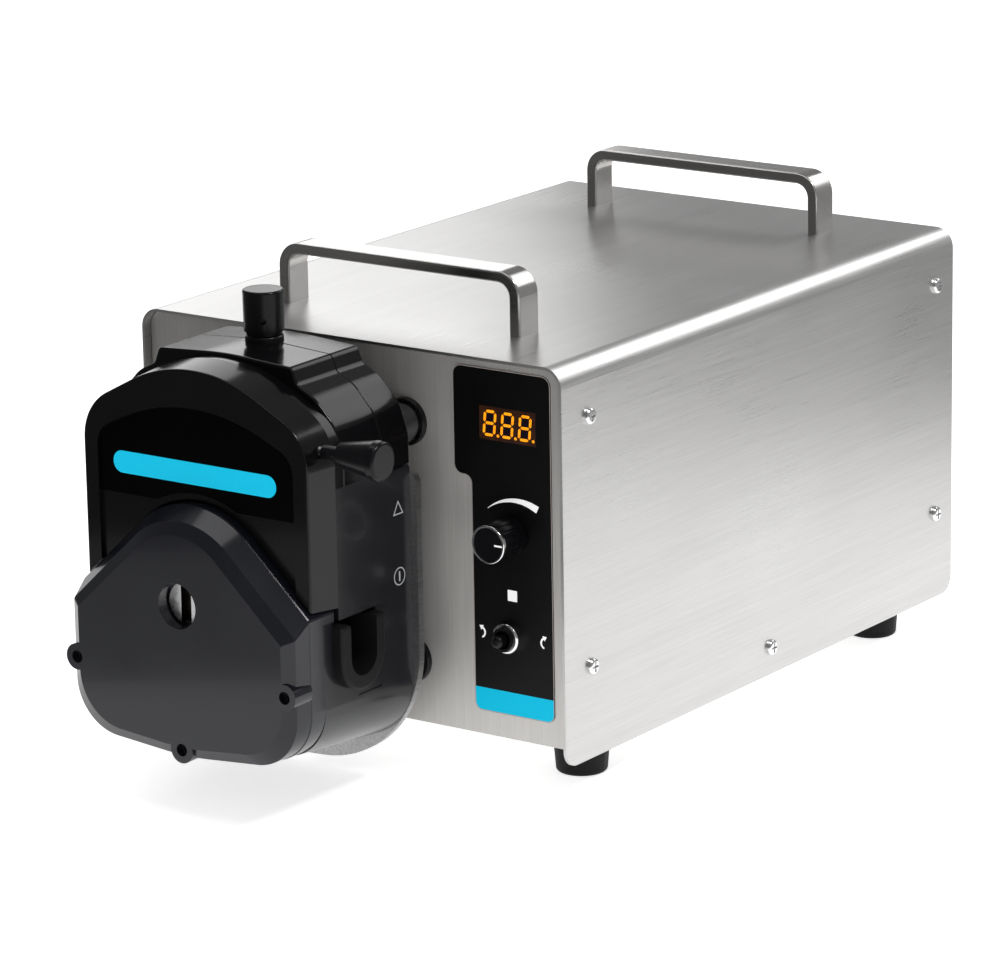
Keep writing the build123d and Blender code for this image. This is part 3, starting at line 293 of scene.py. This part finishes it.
def dress_nodes():
    """Gives every CAD node the material of its slot, or its own where it has one."""
    own = {"front_panel": "panel_steel", "rear_panel": "panel_steel", "rotor_shaft": "slotted_shaft"}
    for part in frame["record"]["subparts"]:
        node = nodes[part["node"]]
        node.data.materials.clear()
        node.data.materials.append(materials[own.get(part["node"], part["material_slot"])])


dress_nodes()


# Printed and lit shapes: thin plates on flat faces

def plate(name, loops, face, material, body, lift=0.05 * MM, at=(0.0, 0.0), facing="-Y"):
    """Closed thin plate over each outline, raised by the lift from the face it lies on.

    The points are (x, z) on a face towards -Y, and (y, z) on one towards +X.
    """
    def point(across, height, rise):
        if facing == "+X":
            return face + rise, at[0] + across, at[1] + height
        return at[0] + across, face - rise, at[1] + height

    mesh = bpy.data.meshes.new(name)
    bm = bmesh.new()
    for loop in loops:
        front = [bm.verts.new(point(a, b, lift)) for a, b in loop]
        back = [bm.verts.new(point(a, b, 0.0)) for a, b in loop]
        bm.faces.new(front)
        bm.faces.new(back[::-1])
        for i in range(len(loop)):
            j = (i + 1) % len(loop)
            bm.faces.new((front[j], front[i], back[i], back[j]))
    bmesh.ops.recalc_face_normals(bm, faces=bm.faces)
    bm.to_mesh(mesh)
    bm.free()
    mesh.materials.append(material)
    piece = bpy.data.objects.new(name, mesh)
    bpy.context.scene.collection.objects.link(piece)
    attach(piece, body)
    return piece


def arc_points(centre, radius, start, end, steps=16):
    """Points along an arc, angles in degrees from +X towards +Z."""
    points = []
    for i in range(steps + 1):
        turn = math.radians(start + (end - start) * i / steps)
        points.append((centre[0] + radius * math.cos(turn), centre[1] + radius * math.sin(turn)))
    return points


def rounded_rectangle(x0, x1, z0, z1, lower, upper):
    """Rectangle with its own corner radius below and above."""
    points = []
    corners = [(x1, z1, upper, 0), (x0, z1, upper, 90), (x0, z0, lower, 180), (x1, z0, lower, 270)]
    for x, z, radius, start in corners:
        if radius:
            centre = (x - radius if x == x1 else x + radius, z - radius if z == z1 else z + radius)
            points += arc_points(centre, radius, start, start + 90, 8)
        else:
            points.append((x, z))
    return points


def swept_arc(centre, radius, start, end, width_start, width_end, steps=32):
    """Arc band whose width changes evenly from one end to the other."""
    inner, outer = [], []
    for i in range(steps + 1):
        share = i / steps
        turn = math.radians(start + (end - start) * share)
        half = (width_start + (width_end - width_start) * share) / 2
        for side, reach in ((inner, radius - half), (outer, radius + half)):
            side.append((centre[0] + reach * math.cos(turn), centre[1] + reach * math.sin(turn)))
    return inner + outer[::-1]


def ring(outer, inner):
    """Quadrilaterals that fill the gap between two closed loops with the same number of points."""
    count = len(outer)
    return [[outer[i], outer[(i + 1) % count], inner[(i + 1) % count], inner[i]] for i in range(count)]


def front_middle(node):
    """(x, z) of the middle of a node's box."""
    low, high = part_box(node)
    return (low.x + high.x) / 2, (low.z + high.z) / 2


def front_outline(node, face):
    """(x, z) points round the outline of a node's flat front face."""
    matrix = node.matrix_world
    points = {}
    edges = set()
    for polygon in node.data.polygons:
        corners = [matrix @ node.data.vertices[v].co for v in polygon.vertices]
        if any(abs(c.y - face) > 0.01 * MM for c in corners):
            continue
        keys = [(round(c.x, 6), round(c.z, 6)) for c in corners]
        for key, corner in zip(keys, corners):
            points[key] = (corner.x, corner.z)
        for i, key in enumerate(keys):
            edges.add((key, keys[(i + 1) % len(keys)]))
    # An edge that no other face runs back along is on a border; the lowest point is on the outer one.
    after = {a: b for a, b in edges if (b, a) not in edges}
    start = min(after, key=lambda key: (key[1], key[0]))
    loop = [start]
    while after[loop[-1]] != start:
        loop.append(after[loop[-1]])
    return [points[key] for key in loop]


def shrunk(loop, distance):
    """The loop moved inwards by a distance, for a loop that turns either way."""
    area = sum(a[0] * b[1] - b[0] * a[1] for a, b in zip(loop, loop[1:] + loop[:1]))
    side = 1 if area > 0 else -1
    result = []
    for before, here, behind in zip(loop[-1:] + loop[:-1], loop, loop[1:] + loop[:1]):
        first = (Vector(here) - Vector(before)).normalized()
        second = (Vector(behind) - Vector(here)).normalized()
        normal = Vector((-first.y - second.y, first.x + second.x)) * side
        normal /= max(0.5, 1 + first.dot(second))
        result.append((here[0] + normal.x * distance, here[1] + normal.y * distance))
    return result


def make_overlay_print():
    low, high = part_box("control_overlay")
    face = low.y
    right, bottom = high.x, low.z
    left = right - 46 * MM
    inset = 0.4 * MM
    band = rounded_rectangle(left + inset, right - inset, bottom + inset, bottom + 11.5 * MM,
                             3.6 * MM, 0)
    plate("overlay_band", [band], face, cyan_ink, "root").visible_glossy = False
    edge = front_outline(nodes["control_overlay"], face)
    edging = ring(shrunk(edge, 0.05 * MM), shrunk(edge, 0.4 * MM))
    plate("overlay_edge_line", edging, face, edge_ink, "root", 0.03 * MM)

    knob_x, knob_z = front_middle("speed_knob")
    sweep = swept_arc((knob_x + 2.6 * MM, knob_z - 9.7 * MM), 26.7 * MM, 128.5, 63.2,
                      0.2 * MM, 3.6 * MM)
    plate("speed_arc", [sweep], face, white_ink, "root")

    toggle_x, toggle_z = front_middle("toggle_nut")
    half = 2.7 * MM
    square = rounded_rectangle(-half, half, -half, half, 0.3 * MM, 0.3 * MM)
    plate("stop_mark", [square], face, white_ink, "root",
          at=(toggle_x + 1.9 * MM, toggle_z + 20.6 * MM))
    for name, side, aside in (("left_turn_mark", 1, -17.0 * MM), ("right_turn_mark", -1, 20.7 * MM)):
        plate(name, turn_mark(side), face, white_ink, "root",
              at=(toggle_x + aside, toggle_z))


def turn_mark(side):
    """Small curved arrow: 1 bulges towards +X, and -1 is its mirror image."""
    radius, width, tail_angle, tip_angle = 2.6 * MM, 1.0 * MM, -70, 62
    head_half_width, head_length = 1.4 * MM, 2.1 * MM
    band = swept_arc((0, 0), radius, tail_angle, tip_angle, width * 0.8, width)
    base = Vector(arc_points((0, 0), radius, tip_angle, tip_angle, 1)[0])
    along = math.radians(tip_angle + 90)
    ahead = Vector((math.cos(along), math.sin(along)))
    across = Vector((ahead.y, -ahead.x))
    head = [base + across * head_half_width, base + ahead * head_length, base - across * head_half_width]
    return [[(side * x, z) for x, z in band], [(side * p.x, p.y) for p in head]]


# Each segment of a digit: its place in half widths and half heights, and how it lies
SEGMENTS = [(0, 1, "h"), (0, 0, "h"), (0, -1, "h"),
            (-1, 0.5, "v"), (1, 0.5, "v"), (-1, -0.5, "v"), (1, -0.5, "v")]


def segment_loop(x, z, lie, half_width, half_height, thick):
    """Six-sided segment of a seven-segment digit, centred in its place."""
    cx, cz = x * half_width, z * half_height
    reach = (half_width if lie == "h" else half_height / 2) - 0.35 * thick
    bar = [(-reach, 0), (-reach + thick / 2, thick / 2), (reach - thick / 2, thick / 2),
           (reach, 0), (reach - thick / 2, -thick / 2), (-reach + thick / 2, -thick / 2)]
    if lie == "v":
        bar = [(-b, a) for a, b in bar]
    return [(cx + a, cz + b) for a, b in bar]


def make_digits():
    """Three lit digits with their points, and a dark cell inside each loop of segments."""
    first_digit, digit_pitch = 6.0 * MM, 10.1 * MM
    half_width, half_height, thick = 2.95 * MM, 5.7 * MM, 1.35 * MM
    point_gap, point_radius = 1.75 * MM, 0.75 * MM
    slant = math.tan(math.radians(5))
    low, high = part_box("display_window")
    middle = (low.z + high.z) / 2

    segments = [[(x + z * slant, z) for x, z in segment_loop(*segment, half_width, half_height, thick)]
                for segment in SEGMENTS]
    point = arc_points((half_width + point_gap, -half_height), point_radius, 0, 330, 11)
    w, h = half_width - 0.6 * thick, half_height / 2 - 0.6 * thick
    cells = []
    for level in (-0.5 * half_height, 0.5 * half_height):
        corners = [(side * w, level + end * h) for side, end in ((-1, -1), (1, -1), (1, 1), (-1, 1))]
        cells.append([(x + z * slant, z) for x, z in corners])

    for index in range(3):
        centre = (low.x + first_digit + index * digit_pitch, middle)
        plate(f"digit_{index + 1}_cell", cells, low.y, dark_cell, "root",
              0.03 * MM, centre)
        digit = plate(f"digit_{index + 1}", segments + [point], low.y, amber_light, "root",
                      at=centre)
        digit.visible_glossy = False


def make_knob_pointer():
    low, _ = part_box("speed_knob")
    bar = rounded_rectangle(3.6 * MM, 8.0 * MM, -0.4 * MM, 0.4 * MM, 0, 0)
    plate("knob_pointer", [bar], low.y, white_ink, "speed_knob", 0.1 * MM,
          front_middle("speed_knob"))


def make_head_print():
    low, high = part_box("cover_label")
    bar = rounded_rectangle(-49.5 * MM, 47.2 * MM, 10.0 * MM, 20.8 * MM, 5.3 * MM, 5.3 * MM)
    stripe = plate("label_band", [bar], low.y, cyan_ink, "upper_jaw", 0.06 * MM,
                   ((low.x + high.x) / 2, low.z))
    stripe.visible_glossy = False


def make_side_signs():
    """Plain hazard triangle and ring on the right side of the pump body."""
    low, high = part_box("pump_body")
    y = (low.y + high.y) / 2 + 25.0 * MM
    triangle = [(radius * math.sin(turn), radius * math.cos(turn))
                for radius, turn in ((4.6 * MM, math.radians(t)) for t in (0, 120, 240))]
    plate("hazard_triangle", ring(triangle, shrunk(triangle, 0.55 * MM)), high.x, grey_ink, "root",
          at=(y, high.z - 37.0 * MM), facing="+X")
    circle = arc_points((0, 0), 4.4 * MM, 0, 350, 35)
    bar = rounded_rectangle(-0.5 * MM, 0.5 * MM, -2.4 * MM, 2.4 * MM, 0.3 * MM, 0.3 * MM)
    plate("guard_ring", [*ring(circle, shrunk(circle, 0.5 * MM)), bar], high.x, grey_ink, "root",
          at=(y, high.z - 69.5 * MM), facing="+X")


def make_latch_coil():
    """The latch's spring, copied with a mesh of its own and carried by the upper jaw in place of the CAD
    node; the real spring closes up against its fixed end as the knob is pulled, and this copy does not.
    """
    coil = bpy.data.objects.new("latch_coil", nodes["latch_spring"].data.copy())
    bpy.context.scene.collection.objects.link(coil)
    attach(coil, "upper_jaw")
    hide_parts("latch_spring")
    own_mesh(coil)


make_latch_coil()
make_overlay_print()
make_digits()
make_knob_pointer()
make_head_print()
make_side_signs()


# Camera, light and floor

CAMERA_PLACE = (1.4235, -1.9951, 0.7702)
CAMERA_AZIMUTH, CAMERA_ELEVATION, CAMERA_ROLL = 35.51, 15.04, -1.0
LENS_MM, SENSOR_MM = 183.6, 36.0


def make_camera():
    """The photo's camera; its azimuth runs from -Y towards +X."""
    azimuth, elevation, roll = (math.radians(a) for a in (CAMERA_AZIMUTH, CAMERA_ELEVATION, CAMERA_ROLL))
    back = Vector((math.sin(azimuth) * math.cos(elevation), -math.cos(azimuth) * math.cos(elevation),
                   math.sin(elevation)))
    right = Vector((math.cos(azimuth), math.sin(azimuth), 0))
    up = back.cross(right)
    turned_right = right * math.cos(roll) + up * math.sin(roll)
    turned_up = up * math.cos(roll) - right * math.sin(roll)
    data = bpy.data.cameras.new("camera")
    data.lens = LENS_MM
    data.sensor_width = SENSOR_MM
    data.clip_end = 50.0
    camera = bpy.data.objects.new("camera", data)
    bpy.context.scene.collection.objects.link(camera)
    turn = Matrix((turned_right, turned_up, back)).transposed().to_4x4()
    camera.matrix_world = Matrix.Translation(CAMERA_PLACE) @ turn
    bpy.context.scene.camera = camera


def softbox(name, place, target, width, height, radiance):
    """Rectangular light that the camera doesn't see, as bright as its radiance says."""
    data = bpy.data.lights.new(name, "AREA")
    data.shape = "RECTANGLE"
    data.size = width
    data.size_y = height
    data.energy = radiance * width * height * math.pi
    light = bpy.data.objects.new(name, data)
    bpy.context.scene.collection.objects.link(light)
    light.location = place
    light.rotation_euler = (Vector(target) - Vector(place)).to_track_quat("-Z", "Y").to_euler()
    light.visible_camera = False


def reflection_card(name, bearing, distance, left, right, bottom, top, brightness):
    """Upright grey card that only shows in reflections.

    It stands square to a bearing from the origin, in degrees from +Y towards +X.
    """
    turn = math.radians(bearing)
    out = Vector((math.sin(turn), math.cos(turn), 0))
    across = Vector((out.y, -out.x, 0))
    corners = [out * distance + across * x + Vector((0, 0, z))
               for x, z in ((left, bottom), (right, bottom), (right, top), (left, top))]
    mesh = bpy.data.meshes.new(name)
    mesh.from_pydata(corners, [], [(0, 1, 2, 3)])
    card = bpy.data.objects.new(name, mesh)
    bpy.context.scene.collection.objects.link(card)
    g = Graph(name + "_paper")
    mesh.materials.append(g.finish(Base_Color=rgb(0, 0, 0), Roughness=1.0, Emission_Color=rgb(1, 1, 1),
                                   Emission_Strength=brightness))
    for ray in ("camera", "diffuse", "shadow", "transmission", "volume_scatter"):
        setattr(card, "visible_" + ray, False)


def make_floor():
    """White paper that glows a little, so that it reaches white behind the pump."""
    half = 12.0
    corners = [(-half, -half, 0), (half, -half, 0), (half, half, 0), (-half, half, 0)]
    mesh = bpy.data.meshes.new("floor")
    mesh.from_pydata(corners, [], [(0, 1, 2, 3)])
    floor = bpy.data.objects.new("floor", mesh)
    bpy.context.scene.collection.objects.link(floor)
    g = Graph("floor_paper")
    fibre = g.noise(g.place, 300.0, detail=3.0)
    paper = g.shade(rgb(0.85, 0.85, 0.85), g.spread(fibre, 0.99, 1.01))
    mesh.materials.append(g.finish(Base_Color=paper, Roughness=1.0, Specular_IOR_Level=0.0,
                                   Emission_Color=rgb(1, 1, 1), Emission_Strength=0.72))


def make_world():
    world = bpy.data.worlds.new("studio")
    bpy.context.scene.world = world
    world.use_nodes = True
    background = world.node_tree.nodes["Background"]
    background.inputs["Color"].default_value = rgb(1, 1, 1)
    background.inputs["Strength"].default_value = 0.3


make_camera()
make_floor()
make_world()
# Place, target, width, height, radiance
softbox("back_left_box", (-1.25, 1.064, 1.27), (0, 0, 1.27), 1.0, 1.5, 1.9)
softbox("bend_strip", (0.55, 1.55, 1.25), (0, 0, 0.2), 1.3, 0.8, 2.7)
softbox("edge_light", (1.02, -0.05, 1.5), (0, -0.2, 0.15), 0.35, 0.28, 38.0)
softbox("crown_light", (-0.95, -0.02, 1.4), (0, -0.2, 0.15), 0.3, 0.55, 3.5)
softbox("top_box", (-0.1, -0.5, 1.7), (0, -0.1, 0.1), 1.3, 0.5, 2.0)
softbox("front_strip", (0.62, -1.35, 0.95), (0, -0.1, 0.15), 0.22, 1.0, 2.4)
# Bearing, distance, left, right, bottom, top, brightness
reflection_card("back_card", 35, 0.64, -0.5, 1.2, 0.0, 0.42, 0.36)
reflection_card("front_card_low", 215, 0.42, -1.0, 1.0, 0.0, 0.07, 0.55)
reflection_card("front_card_high", 215, 0.42, -1.0, 1.0, 0.07, 1.0, 0.12)
bpy.context.scene.view_settings.view_transform = "Standard"
